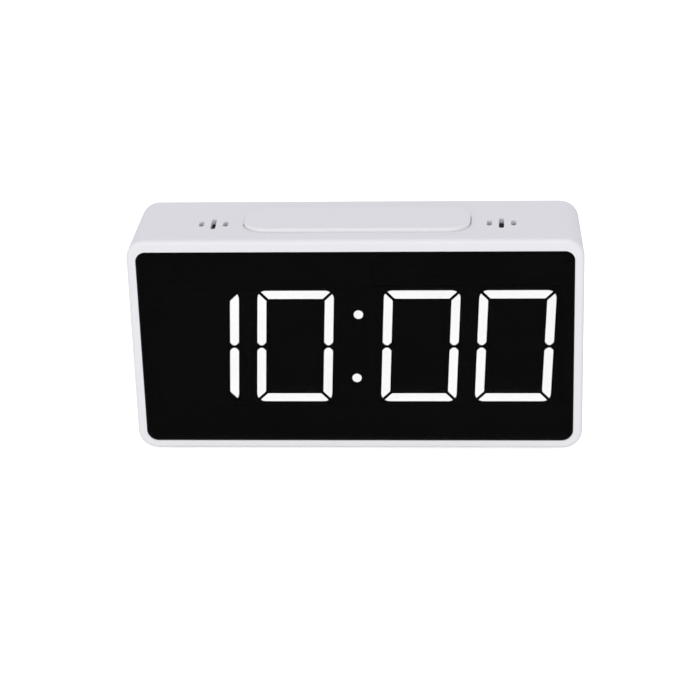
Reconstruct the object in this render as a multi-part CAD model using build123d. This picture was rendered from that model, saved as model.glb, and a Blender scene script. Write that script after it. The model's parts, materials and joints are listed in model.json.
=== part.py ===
from build123d import *

# Digital LED desk clock: a white moulded case, a smoked front lens over four seven-bar digits, a long
# snooze key on top, and a rear cover with four keys, a power inlet and a battery compartment.
# Lengths are in millimetres. X runs to the right seen from the front, Y from front to back, Z up.
# The origin is on the table, under the middle of the case.
# A depth is a distance behind the front plane of the case.

import os
from math import radians, sqrt, tan

# Digits
digit_width = 26.95
digit_height = 43.45
digit_gap = 6.65  # between the two digits of a pair
colon_space = 17.7  # between the two pairs
digit_slant_degrees = 2.6
digit_corner_radius = 3.0
bar_width = 3.1
bar_mitre_gap = 1.1
bar_tip_gap = 1.05
bar_tip_chamfer = 1.1
bar_clearance = 0.05
colon_dot_diameter = 3.3
colon_dot_offset = 12.45  # up and down from the middle of the display
display_drop = 0.65  # middle of the display below the middle of the lens
display_shift = 0.25  # middle of the display to the right of the middle of the case
digit_names = ("hour_tens", "hour_units", "minute_tens", "minute_units")
digit_lit_bars = ("bc", "abcdef", "abcdef", "abcdef")

# Reflector block behind the lens, with the light chips in its wells
reflector_border = 2.0
reflector_depth = 7.0
lens_to_reflector_gap = 0.35
peg_diameter = 2.4
peg_proud = 0.5
peg_clearance = 0.1
peg_offset = 12.0  # up and down from the middle of the display
led_length = 2.0
led_width = 1.4
led_height = 0.8
led_air_gap = 0.5

# Lens, its tape and the ledge that carries it
lens_recess = 0.15
lens_thickness = 2.0
lens_clearance = 0.08
lens_edge_radius = 0.15
lens_upper_corner_radius = 3.6
lens_lower_corner_radius = 4.2
tape_thickness = 0.3
tape_inset = 0.4  # outer edge of the tape, inside the lens pocket
tape_lip = 0.8  # inner edge of the tape, over the border of the reflector
ledge_side_width = 4.23
ledge_upper_width = 13.07
ledge_thickness = 1.5
window_clearance = 0.25

# Case shell
side_bezel_width = 3.3
lower_bezel_width = 3.3
upper_bezel_width = 4.3
case_wall = 2.2
case_taper = 1.2  # each side wall leans in by this much from front to back
case_corner_radius = 7.0
front_edge_radius = 1.5
rear_edge_radius = 0.9
boss_radius = 3.5
boss_rib_width = 1.6
pilot_diameter = 2.2
pilot_depth = 11.0
display_boss_radius = 2.6
display_boss_x = 36.0
display_pilot_diameter = 1.7
display_pilot_depth = 4.4
sound_slot_width = 1.8
sound_slot_length = 8.95
sound_dot_length = 4.4
sound_slot_pitch = 4.27
sound_setback = 2.35  # sound slots in front of the middle of the snooze key
sound_recess_depth = 0.2  # the top wall is thinner inside the sound rings
sound_ring_wall = 1.2
sound_ring_height = 5.0
sound_ring_spacing = 2.1
top_shift = 0.45  # snooze key and sound slots to the right of the middle of the case

# Rubber feet
foot_height = 1.0
foot_pocket_depth = 0.6
foot_diameter = 9.0
foot_clearance = 0.1
foot_inset = 13.0  # foot middle from the case's side
foot_setback = 8.0  # foot middle from the case's front and rear

# Display board
board_thickness = 1.6
board_edge_margin = 3.2
driver_length = 17.8
driver_width = 7.6
driver_height = 2.4
driver_x = 28.0
leg_width = 0.5
leg_thickness = 0.25
leg_reach = 1.4
leg_pitch = 1.27

# Ribbon cable and its two sockets
socket_width = 15.0
socket_height = 5.6
socket_depth = 4.0
ribbon_width = 12.7
ribbon_thickness = 0.8
ribbon_x = -14.0
ribbon_drop = 14.0  # lower socket below the upper one
ribbon_bend_share = 0.45

# Main board, the air in front of it and the parts on it
board_spacing = 13.9
main_board_height = 21.0
main_board_rise = 1.5  # lower edge of the board above the battery block
main_board_margin = 3.4
post_radius = 2.6
post_edge = 4.0  # post middle from the upper and lower board edge
post_spacing = 2.0
controller_length = 12.8
controller_x = 8.0
crystal_diameter = 3.0
crystal_length = 8.0
crystal_x = -33.0
crystal_lift = 0.2
capacitor_diameter = 6.3
capacitor_length = 7.0
capacitor_x = 36.0
part_drop = 3.0  # parts below the middle of the main board

# Rear keys and their switches
key_length = 10.0
key_width = 5.0
key_pitch = 18.0
key_proud = 0.9
key_edge_radius = 0.5
key_clearance = 0.3
key_flange_lip = 1.0
key_flange_thickness = 1.0
key_foot_diameter = 3.0
key_foot_length = 1.0
key_travel = 0.6
key_names = ("set", "alarm", "up", "down")
switch_size = 6.0
switch_height = 3.5
stem_diameter = 3.4
stem_proud = 1.5
stem_inside = 0.8
stem_clearance = 0.1

# Snooze key and its two switches
snooze_length = 80.0
snooze_width = 20.4
snooze_corner_radius = 7.8
snooze_proud = 1.4
snooze_edge_radius = 0.7
snooze_wall = 1.6
snooze_end_clearance = 0.25
snooze_side_clearance = 0.1
snooze_flange_lip = 1.2
snooze_flange_thickness = 1.2
snooze_travel = 1.0
snooze_leg_diameter = 4.0
snooze_leg_x = 25.0
snooze_leg_setback = 4.4  # legs behind the middle of the key
snooze_stem_proud = 2.0

# Power inlet
usb_width = 7.8
usb_height = 3.0
usb_wall = 0.4
usb_corner_radius = 0.8
usb_clearance = 0.3
usb_setback = 0.6  # mouth inside the rear cover's outer face
usb_spacing = 19.0  # inlet middle from the last key
usb_back_wall = 0.8
tongue_width = 3.6
tongue_height = 0.7
tongue_length = 5.0

# Sound parts under the top wall
buzzer_diameter = 12.0
buzzer_length = 8.5
buzzer_port_diameter = 2.0
buzzer_port_depth = 1.0
sound_gap = 0.3
sound_fit_clearance = 0.1
microphone_diameter = 6.0
microphone_length = 4.5
boot_length = 6.0
lead_diameter = 1.2
lead_spacing = 2.6

# Rear cover
cover_recess = 1.2
cover_thickness = 2.0
cover_clearance = 0.2
cover_margin = 1.2  # round a screw head, to the cover's edge
block_lift = 0.9  # battery block above the cover's lower edge

# Battery compartment, cells and contacts
cell_count = 3
cell_diameter = 10.4
cell_length = 44.5
cell_edge_radius = 0.6
cell_nub_diameter = 3.8
cell_nub_length = 1.0
cell_clearance = 0.25
contact_space = 2.8
contact_thickness = 0.4
contact_width = 8.0
contact_height = 9.0
contact_leaf_width = 4.0
contact_leaf_gap = 0.1
contact_tail_width = 2.4
contact_tail_length = 1.6
contact_fit_clearance = 0.1
well_wall = 2.0
battery_lead_reach = 3.0

# Battery door
door_thickness = 2.2
door_ledge = 1.5
door_clearance = 0.3
door_seat_gap = 0.2
door_pin_radius = 0.7
door_pin_length = 1.3
door_pin_clearance = 0.1
door_ridge_count = 5
door_ridge_length = 12.0
door_ridge_width = 0.8
door_ridge_height = 0.4
door_ridge_pitch = 1.8
door_ridge_drop = 3.0  # first ridge below the door's upper edge
notch_length = 16.0
notch_height = 5.0
notch_depth = 1.2

# Screws
screw_head_diameter = 4.6
screw_head_height = 1.6
screw_shank_diameter = 2.0
screw_length = 9.0
screw_clearance = 0.2
counterbore_depth = 0.9
cross_length = 2.6
cross_width = 0.6
cross_depth = 0.8
board_screw_head_diameter = 4.0
board_screw_head_height = 1.3
board_screw_shank_diameter = 1.5
board_screw_length = 5.0

# One overrun for every cut that passes through a face
cut_overrun = 1.0

# Display sizes, worked out from the digits
digit_slope = tan(radians(digit_slant_degrees))
digit_pitch = digit_width + digit_gap
inner_digit_x = (colon_space + digit_width) / 2
digit_steps = (-inner_digit_x - digit_pitch, -inner_digit_x, inner_digit_x, inner_digit_x + digit_pitch)
digit_places = [display_shift + step for step in digit_steps]
digits_span = digit_places[-1] - digit_places[0] + digit_width
reflector_width = digits_span + digit_height * digit_slope + 2 * reflector_border
reflector_height = digit_height + 2 * reflector_border
window_width = reflector_width + 2 * window_clearance
window_height = reflector_height + 2 * window_clearance
pocket_width = window_width + 2 * ledge_side_width
pocket_height = window_height + 2 * ledge_upper_width

# Case sizes, worked out from the lens pocket
case_width = pocket_width + 2 * side_bezel_width
case_height = pocket_height + lower_bezel_width + upper_bezel_width

# Depths behind the front plane, from front to back
lens_back = lens_recess + lens_thickness
ledge_front = lens_back + tape_thickness
ledge_back = ledge_front + ledge_thickness
reflector_front = lens_back + lens_to_reflector_gap
board_front = reflector_front + reflector_depth
board_back = board_front + board_thickness
main_board_front = board_back + board_spacing
main_board_back = main_board_front + board_thickness
switch_back = main_board_back + switch_height
stem_back = switch_back + stem_proud
flange_front = stem_back + key_foot_length
cover_inner = flange_front + key_flange_thickness
cover_outer = cover_inner + cover_thickness
case_depth = cover_outer + cover_recess
front_y = -case_depth / 2

# Heights above the table
case_bottom = foot_height
case_top = case_bottom + case_height
case_middle = case_bottom + case_height / 2
ceiling = case_top - case_wall
lens_middle = case_bottom + lower_bezel_width + pocket_height / 2
display_middle = lens_middle - display_drop

# Battery compartment, forwards from the door and up from the cover's lower edge
door_inner = cover_outer - door_thickness
door_seat = door_inner - door_seat_gap
cell_depth = door_seat - cell_clearance - cell_diameter / 2
well_floor = cell_depth - cell_diameter / 2 - cell_clearance
block_front = well_floor - well_wall
cell_pitch = cell_diameter + cell_clearance
well_length = cell_length + 2 * contact_space
well_height = cell_count * cell_pitch + cell_clearance
recess_width = well_length + 2 * door_ledge
recess_height = well_height + 2 * door_ledge
block_width = recess_width + 2 * well_wall
block_height = recess_height + 2 * well_wall
block_bottom = case_bottom + case_wall + cover_clearance + block_lift
well_middle = block_bottom + block_height / 2
block_top = block_bottom + block_height
cell_heights = [well_middle + cell_pitch * (row - (cell_count - 1) / 2) for row in range(cell_count)]
door_width = recess_width - 2 * door_clearance
door_height = recess_height - 2 * door_clearance
door_bottom = well_middle - door_height / 2
hinge_depth = cover_outer - door_thickness / 2
hinge_height = door_bottom + door_thickness / 2

# Main board and rear keys
main_board_bottom = block_top + main_board_rise
main_board_top = main_board_bottom + main_board_height
key_row = main_board_bottom + main_board_height / 2
key_places = [key_pitch * (place - (len(key_names) - 1) / 2) for place in range(len(key_names))]
usb_x = key_places[-1] + usb_spacing
post_x = usb_x + usb_width / 2 + post_radius + post_spacing
main_board_width = 2 * (post_x + main_board_margin)
post_places = [(side * post_x, height) for side in (-1, 1)
               for height in (main_board_bottom + post_edge, main_board_top - post_edge)]
part_height = key_row - part_drop

# Snooze key, set by its switches on the upper edge of the main board
snooze_switch_depth = main_board_front - switch_size / 2
snooze_y = front_y + snooze_switch_depth - snooze_leg_setback
snooze_stem_top = main_board_top + snooze_stem_proud
snooze_top = case_top + snooze_proud
sound_ring_inner = buzzer_diameter / 2 + sound_fit_clearance
sound_ring_outer = sound_ring_inner + sound_ring_wall
snooze_lip = snooze_end_clearance + snooze_flange_lip
sound_x = snooze_length / 2 + snooze_lip + sound_ring_spacing + sound_ring_outer
sound_y = snooze_y - sound_setback
sound_places = [(top_shift + side * sound_x, sound_y) for side in (-1, 1)]
microphone_place, buzzer_place = sound_places
buzzer_top = ceiling - sound_gap
buzzer_bottom = buzzer_top - buzzer_length

# Fastening places
cover_half_width = case_width / 2 - case_taper - case_wall - cover_clearance
cover_half_height = case_height / 2 - case_wall - cover_clearance
boss_x = cover_half_width - cover_margin - screw_head_diameter / 2
boss_rise = cover_half_height - cover_margin - screw_head_diameter / 2
boss_places = [(side * boss_x, case_middle + end * boss_rise) for side in (-1, 1) for end in (-1, 1)]
inside_top = case_middle + case_height / 2 - case_wall
inside_bottom = case_middle - case_height / 2 + case_wall
display_boss_heights = ((display_middle + window_height / 2 + inside_top) / 2,
                        (display_middle - window_height / 2 + inside_bottom) / 2)
display_boss_places = [(side * display_boss_x, height)
                       for side in (-1, 1) for height in display_boss_heights]
peg_x = inner_digit_x + digit_pitch / 2
peg_places = [(display_shift + side * peg_x, display_middle + end * peg_offset)
              for side in (-1, 1) for end in (-1, 1)]


def front_plane(depth):
    """Upright plane at a depth, with its own x to the right and its own y up."""
    return Plane(origin=(0, front_y + depth, 0), x_dir=(1, 0, 0), z_dir=(0, -1, 0))


def slab(sketch, near, far):
    """Solid that an upright sketch sweeps from one depth back to another."""
    return extrude(front_plane(near) * sketch, amount=near - far)


def column(sketch, low, high):
    """Solid that a level sketch sweeps from one height up to another."""
    return extrude(Pos(0, 0, low) * sketch, amount=high - low)


def at_places(sketch, places):
    """One copy of a sketch at each place."""
    return Sketch() + [Pos(*place) * sketch for place in places]


def group(solids):
    """Separate solids kept together in one node."""
    return Compound(children=list(solids))


def case_block(near, far, inset, corner_radius):
    """Block between two depths that follows the case's leaning sides, inset evenly from the outside."""
    sections = []
    for depth in (near, far):
        width = case_width - 2 * inset - 2 * case_taper * depth / case_depth
        outline = RectangleRounded(width, case_height - 2 * inset, corner_radius)
        sections.append((front_plane(depth) * Pos(0, case_middle) * outline).face())
    return loft(sections, ruled=True)


def screw(place, seat, away, head_diameter, head_height, shank_diameter, length):
    """Pan-head screw on a seat depth: its head stands off the seat on the side given by away."""
    head = slab(Pos(*place) * Circle(head_diameter / 2), *sorted((seat, seat + away * head_height)))
    shank = slab(Pos(*place) * Circle(shank_diameter / 2), *sorted((seat, seat - away * length)))
    cross = Rectangle(cross_length, cross_width) + Rectangle(cross_width, cross_length)
    recess = sorted((seat + away * (head_height - cross_depth), seat + away * (head_height + cut_overrun)))
    return head + shank - slab(Pos(*place) * cross, *recess)


def lead(*points):
    """Insulated wire through a few points, with bends as wide as its runs allow."""
    corners = [Vector(point) for point in points]
    radii = []
    for before, corner, after in zip(corners, corners[1:], corners[2:]):
        half_turn = radians((corner - before).get_angle(after - corner) / 2)
        shorter_run = min((corner - before).length, (after - corner).length)
        radii.append(ribbon_bend_share * shorter_run / tan(half_turn))
    path = FilletPolyline(*corners, radius=radii)
    start = Plane(origin=corners[0], z_dir=corners[1] - corners[0])
    return sweep(start * Circle(lead_diameter / 2), path=path)


def case_shell():
    """White sleeve with its bezel, lens ledge, bosses, snooze opening and sound slots."""
    shell = case_block(0, case_depth, 0, case_corner_radius)
    shell = fillet(shell.faces().sort_by(Axis.Y)[0].edges(), front_edge_radius)
    shell = fillet(shell.faces().sort_by(Axis.Y)[-1].edges(), rear_edge_radius)
    shell -= case_block(ledge_back, case_depth + cut_overrun, case_wall, case_corner_radius - case_wall)
    shell -= slab(lens_outline(0), -cut_overrun, ledge_front)
    window = Rectangle(window_width, window_height)
    shell -= slab(Pos(display_shift, display_middle) * window, lens_recess, ledge_back + cut_overrun)
    shell += corner_bosses()
    shell += slab(at_places(Circle(display_boss_radius), display_boss_places), ledge_back, board_front)
    shell += sound_rings()
    pilots = at_places(Circle(pilot_diameter / 2), boss_places)
    shell -= slab(pilots, cover_inner - pilot_depth, cover_inner + cut_overrun)
    display_pilots = at_places(Circle(display_pilot_diameter / 2), display_boss_places)
    shell -= slab(display_pilots, board_front - display_pilot_depth, board_front + cut_overrun)
    opening = snooze_outline(snooze_end_clearance, snooze_side_clearance)
    shell -= column(opening, ceiling - cut_overrun, case_top + cut_overrun)
    recesses = at_places(Circle(sound_ring_inner), sound_places)
    shell -= column(recesses, ceiling, ceiling + sound_recess_depth)
    shell -= column(sound_slots(), ceiling - cut_overrun, case_top + cut_overrun)
    pockets = at_places(Circle(foot_diameter / 2 + foot_clearance), foot_places())
    return shell - column(pockets, case_bottom - cut_overrun, case_bottom + foot_pocket_depth)


def corner_bosses():
    """Four posts from the lens ledge back to the rear cover, each tied to its side wall by a rib."""
    posts = Sketch()
    wall_x = case_width / 2 - case_taper - case_wall / 2
    for x, height in boss_places:
        side = 1 if x > 0 else -1
        rib = Rectangle(wall_x - boss_x, boss_rib_width)
        posts += Pos(x, height) * Circle(boss_radius)
        posts += Pos(side * (wall_x + boss_x) / 2, height) * rib
    return slab(posts, ledge_back, cover_inner)


def sound_rings():
    """Two rings under the top wall that hold the buzzer and the microphone."""
    ring = Circle(sound_ring_outer) - Circle(sound_ring_inner)
    return column(at_places(ring, sound_places), ceiling - sound_ring_height, ceiling)


def sound_slots():
    """Two groups of sound holes: a long slot between two short ones."""
    slots = Sketch()
    for x, y in sound_places:
        for step, length in ((-1, sound_dot_length), (0, sound_slot_length), (1, sound_dot_length)):
            slot = SlotOverall(length, sound_slot_width, rotation=90)
            slots += Pos(x + step * sound_slot_pitch, y) * slot
    return slots


def foot_places():
    """Middles of the four feet, seen from above."""
    foot_x = case_width / 2 - foot_inset
    foot_y = case_depth / 2 - foot_setback
    return [(side * foot_x, end * foot_y) for side in (-1, 1) for end in (-1, 1)]


def rubber_feet():
    """Four round pads, part sunk in the case's floor."""
    return column(at_places(Circle(foot_diameter / 2), foot_places()), 0, case_bottom + foot_pocket_depth)


def lens_outline(inset):
    """Outline of the lens pocket, set in by a margin, with rounder corners below than above."""
    outline = Rectangle(pocket_width - 2 * inset, pocket_height - 2 * inset)
    outline = fillet(outline.vertices().group_by(Axis.Y)[0], lens_lower_corner_radius - inset)
    outline = fillet(outline.vertices().group_by(Axis.Y)[-1], lens_upper_corner_radius - inset)
    return Pos(0, lens_middle) * outline


def front_lens():
    """Smoked panel that drops into the bezel."""
    lens = slab(lens_outline(lens_clearance), lens_recess, lens_back)
    return fillet(lens.faces().sort_by(Axis.Y)[0].edges(), lens_edge_radius)


def lens_tape():
    """Black adhesive frame between the lens and its ledge, wide enough to hide the window's edge."""
    opening = Rectangle(reflector_width - 2 * tape_lip, reflector_height - 2 * tape_lip)
    opening = Pos(display_shift, display_middle) * opening
    return slab(lens_outline(tape_inset) - opening, lens_back, ledge_front)


def slanted(points):
    """Points of an upright outline, leaned to the right as the digits lean."""
    return [(x + height * digit_slope, height) for x, height in points]


def digit_bars(grow):
    """Outlines of the seven bars of one digit about its middle, each grown evenly all round."""
    half_width = digit_width / 2 + grow
    half_height = digit_height / 2 + grow
    bar = bar_width + 2 * grow
    mitre = (bar_mitre_gap - 2 * grow) / sqrt(2)
    gap = bar_mitre_gap - 2 * grow
    tip = bar_tip_gap / 2 - grow
    chamfer = bar_tip_chamfer
    inner = half_width - bar
    level = [(-half_width + mitre, half_height), (-inner + mitre, half_height - bar),
             (inner - mitre, half_height - bar), (half_width - mitre, half_height)]
    upright = [(half_width, half_height - mitre), (inner, half_height - bar - mitre),
               (inner, tip + chamfer), (inner + chamfer, tip),
               (half_width - chamfer, tip), (half_width, tip + chamfer)]
    middle_end = inner - gap
    middle = [(-middle_end, bar / 2), (-middle_end - chamfer, 0), (-middle_end, -bar / 2),
              (middle_end, -bar / 2), (middle_end + chamfer, 0), (middle_end, bar / 2)]
    turns = {"a": (level, 1, 1), "d": (level, 1, -1), "g": (middle, 1, 1), "b": (upright, 1, 1),
             "c": (upright, 1, -1), "f": (upright, -1, 1), "e": (upright, -1, -1)}
    rim = Polygon(*slanted([(-half_width, -half_height), (half_width, -half_height),
                            (half_width, half_height), (-half_width, half_height)]), align=None)
    rim = fillet(rim.vertices(), digit_corner_radius + grow)
    bars = {}
    for name, (outline, across, up) in turns.items():
        points = slanted([(across * x, up * height) for x, height in outline])
        bars[name] = rim & make_face(Polyline(*points, close=True))
    return bars


def bar_middles():
    """Middle of each bar of one digit about the digit's middle, and whether the bar lies level."""
    side = (digit_width - bar_width) / 2
    end = (digit_height - bar_width) / 2
    level_bars = {"a": (0, end), "g": (0, 0), "d": (0, -end)}
    upright_bars = {"b": (side, end / 2), "c": (side, -end / 2),
                    "e": (-side, -end / 2), "f": (-side, end / 2)}
    return ([(place, True) for place in slanted(level_bars.values())]
            + [(place, False) for place in slanted(upright_bars.values())])


def colon_places():
    """Middles of the two colon dots."""
    dots = slanted([(0, -colon_dot_offset), (0, colon_dot_offset)])
    return [(display_shift + x, display_middle + height) for x, height in dots]


def bar_solids(place, names):
    """Light bars of one digit, from the reflector's face back to just short of their light chips."""
    bars = digit_bars(0)
    back = board_front - led_height - led_air_gap
    return group([slab(Pos(place, display_middle) * bars[name], reflector_front, back) for name in names])


def colon_dots():
    """Two round light bars between the hours and the minutes."""
    back = board_front - led_height - led_air_gap
    return slab(at_places(Circle(colon_dot_diameter / 2), colon_places()), reflector_front, back)


def display_reflector():
    """Black block with a well for each bar and dot, staked to the display board by four pegs."""
    block = slab(Pos(display_shift, display_middle) * Rectangle(reflector_width, reflector_height),
                 reflector_front, board_front)
    well_ends = (reflector_front - cut_overrun, board_front + cut_overrun)
    block -= [slab(Pos(place, display_middle) * bar, *well_ends)
              for place in digit_places for bar in digit_bars(bar_clearance).values()]
    dots = at_places(Circle(colon_dot_diameter / 2 + bar_clearance), colon_places())
    pegs = at_places(Circle(peg_diameter / 2), peg_places)
    return block - slab(dots, *well_ends) + slab(pegs, board_front, board_back + peg_proud)


def led_chips():
    """One light chip under the middle of each bar and dot."""
    chips = Sketch()
    for digit_place in digit_places:
        for (x, height), level in bar_middles():
            chip = Rectangle(led_length, led_width, rotation=0 if level else 90)
            chips += Pos(digit_place + x, display_middle + height) * chip
    chips += at_places(Rectangle(led_length, led_width), colon_places())
    return slab(chips, board_front - led_height, board_front)


def display_board():
    """Board behind the reflector, notched at its corners round the case's bosses and the sound parts."""
    upper, lower = display_boss_heights
    tall = Rectangle(2 * (display_boss_x + board_edge_margin), upper - lower + 2 * board_edge_margin)
    tall = Pos(0, (upper + lower) / 2) * tall
    wide = Rectangle(reflector_width, reflector_height + 2 * board_edge_margin)
    wide = Pos(display_shift, display_middle) * wide
    holes = at_places(Circle(board_screw_shank_diameter / 2 + screw_clearance), display_boss_places)
    holes += at_places(Circle(peg_diameter / 2 + peg_clearance), peg_places)
    return slab(tall + wide - holes, board_front, board_back)


def chip(length, x, height, seat, away):
    """Driver or controller chip with two rows of legs, standing off its board on the side given by away."""
    body = Pos(x, height) * Rectangle(length, driver_width)
    body = slab(body, *sorted((seat, seat + away * driver_height)))
    leg_count = int((length - leg_width) / leg_pitch)
    leg_places = [(x + leg_pitch * (leg - (leg_count - 1) / 2), height) for leg in range(leg_count)]
    legs = at_places(Rectangle(leg_width, driver_width + 2 * leg_reach), leg_places)
    return body + slab(legs, *sorted((seat, seat + away * leg_thickness)))


def display_socket():
    """Ribbon socket on the back of the display board."""
    return slab(Pos(ribbon_x, key_row - ribbon_drop) * Rectangle(socket_width, socket_height),
                board_back, board_back + socket_depth)


def main_socket():
    """Ribbon socket on the front of the main board."""
    return slab(Pos(ribbon_x, key_row) * Rectangle(socket_width, socket_height),
                main_board_front - socket_depth, main_board_front)


def ribbon_cable():
    """Flat cable that steps up from the display board's socket to the main board's."""
    start = front_y + board_back + socket_depth
    end = front_y + main_board_front - socket_depth
    middle = (start + end) / 2
    low = key_row - ribbon_drop
    bend = ribbon_bend_share * min(middle - start, ribbon_drop)
    path = FilletPolyline((ribbon_x, start, low), (ribbon_x, middle, low), (ribbon_x, middle, key_row),
                          (ribbon_x, end, key_row), radius=bend)
    section = Plane(origin=(ribbon_x, start, low), x_dir=(1, 0, 0), z_dir=(0, 1, 0))
    return sweep(section * Rectangle(ribbon_width, ribbon_thickness), path=path)


def board_screws(places, seat, away):
    """Small screws that hold a board."""
    return group([screw(place, seat, away, board_screw_head_diameter, board_screw_head_height,
                        board_screw_shank_diameter, board_screw_length) for place in places])


def main_board():
    """Board with the controller, carried on posts of the rear cover."""
    board = Pos(0, key_row) * Rectangle(main_board_width, main_board_height)
    holes = at_places(Circle(board_screw_shank_diameter / 2 + screw_clearance), post_places)
    return slab(board - holes, main_board_front, main_board_back)


def clock_crystal():
    """Timing crystal in a small round can that lies on the main board."""
    depth = main_board_front - crystal_lift - crystal_diameter / 2
    can = Cylinder(crystal_diameter / 2, crystal_length, rotation=(0, 90, 0))
    saddle = Rectangle(crystal_length, crystal_diameter / 2)
    return (Pos(crystal_x, front_y + depth, part_height) * can
            + slab(Pos(crystal_x, part_height) * saddle, depth, main_board_front))


def filter_capacitor():
    """Round can that stands on the main board."""
    return slab(Pos(capacitor_x, part_height) * Circle(capacitor_diameter / 2),
                main_board_front - capacitor_length, main_board_front)


def key_switch_bodies():
    """Four push switches on the back of the main board, each with a bore for its stem."""
    places = [(x, key_row) for x in key_places]
    bodies = slab(at_places(Rectangle(switch_size, switch_size), places), main_board_back, switch_back)
    bores = at_places(Circle(stem_diameter / 2 + stem_clearance), places)
    bore_front = switch_back - stem_inside - key_travel - stem_clearance
    return bodies - slab(bores, bore_front, switch_back + cut_overrun)


def switch_stem(x):
    """Push stem that a rear key carries into its switch."""
    return slab(Pos(x, key_row) * Circle(stem_diameter / 2), switch_back - stem_inside, stem_back)


def rear_key(x):
    """Rounded key cap with a flange inside the rear cover and a foot on the switch stem."""
    place = Pos(x, key_row)
    cap = slab(place * SlotOverall(key_length, key_width), flange_front, cover_outer + key_proud)
    cap = fillet(cap.faces().sort_by(Axis.Y)[-1].edges(), key_edge_radius)
    lip = 2 * (key_clearance + key_flange_lip)
    cap += slab(place * SlotOverall(key_length + lip, key_width + lip), flange_front, cover_inner)
    return cap + slab(place * Circle(key_foot_diameter / 2), stem_back, flange_front)


def snooze_outline(end_growth, side_growth):
    """Snooze key seen from above, grown at its ends and at its sides."""
    outline = RectangleRounded(snooze_length + 2 * end_growth, snooze_width + 2 * side_growth,
                               snooze_corner_radius + side_growth)
    return Pos(top_shift, snooze_y) * outline


def snooze_leg_places():
    """Middles of the snooze key's two legs, seen from above."""
    return [(side * snooze_leg_x, front_y + snooze_switch_depth) for side in (-1, 1)]


def snooze_key():
    """Long hollow key with a rounded upper edge, a flange under the top wall and two legs."""
    flange_bottom = ceiling - snooze_flange_thickness
    key = column(snooze_outline(0, 0), flange_bottom, snooze_top)
    key = fillet(key.faces().sort_by(Axis.Z)[-1].edges(), snooze_edge_radius)
    key += column(snooze_outline(snooze_lip, snooze_lip), flange_bottom, ceiling)
    hollow = snooze_outline(-snooze_wall, -snooze_wall)
    key -= column(hollow, flange_bottom - cut_overrun, snooze_top - snooze_wall)
    legs = at_places(Circle(snooze_leg_diameter / 2), snooze_leg_places())
    return key + column(legs, snooze_stem_top, snooze_top - snooze_wall)


def snooze_switch_bodies():
    """Two push switches on the upper front edge of the main board, each with a bore for its stem."""
    bodies = column(at_places(Rectangle(switch_size, switch_size), snooze_leg_places()),
                    main_board_top - switch_height, main_board_top)
    bores = at_places(Circle(stem_diameter / 2 + stem_clearance), snooze_leg_places())
    bore_bottom = main_board_top - stem_inside - snooze_travel - stem_clearance
    return bodies - column(bores, bore_bottom, main_board_top + cut_overrun)


def snooze_switch_stems():
    """Push stems that the snooze key carries into its switches."""
    stems = at_places(Circle(stem_diameter / 2), snooze_leg_places())
    return column(stems, main_board_top - stem_inside, snooze_stem_top)


def usb_shell():
    """Metal shell of the power inlet, open at the back."""
    place = Pos(usb_x, key_row)
    shell = slab(place * RectangleRounded(usb_width, usb_height, usb_corner_radius),
                 main_board_back, cover_outer - usb_setback)
    bore = RectangleRounded(usb_width - 2 * usb_wall, usb_height - 2 * usb_wall,
                            usb_corner_radius - usb_wall)
    return shell - slab(place * bore, main_board_back + usb_back_wall, cover_outer)


def usb_tongue():
    """Contact tongue inside the power inlet."""
    start = main_board_back + usb_back_wall
    return slab(Pos(usb_x, key_row) * Rectangle(tongue_width, tongue_height), start, start + tongue_length)


def buzzer():
    """Round sounder under the right sound slots, with a port in its upper face."""
    place = Pos(*buzzer_place)
    body = column(place * Circle(buzzer_diameter / 2), buzzer_bottom, buzzer_top)
    return body - column(place * Circle(buzzer_port_diameter / 2), buzzer_top - buzzer_port_depth, ceiling)


def microphone():
    """Small round microphone under the left sound slots."""
    return column(Pos(*microphone_place) * Circle(microphone_diameter / 2),
                  buzzer_top - microphone_length, buzzer_top)


def microphone_boot():
    """Rubber boot between the microphone and its ring, with a hole for the leads."""
    place = Pos(*microphone_place)
    boot = column(place * Circle(buzzer_diameter / 2), buzzer_top - boot_length, buzzer_top)
    bore = Circle(microphone_diameter / 2 + sound_fit_clearance)
    boot -= column(place * bore, buzzer_top - microphone_length, ceiling)
    lead_slot = SlotOverall(2 * lead_spacing, lead_diameter + 2 * sound_fit_clearance)
    return boot - column(place * lead_slot, buzzer_top - boot_length - cut_overrun, buzzer_top)


def sound_leads(place, start):
    """Two wires from a sound part down and back to the main board."""
    wires = []
    middle, y = place
    for step in (-1, 1):
        x = middle + step * lead_spacing / 2
        wires.append(lead((x, y, start), (x, y, key_row), (x, front_y + main_board_front, key_row)))
    return group(wires)


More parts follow.
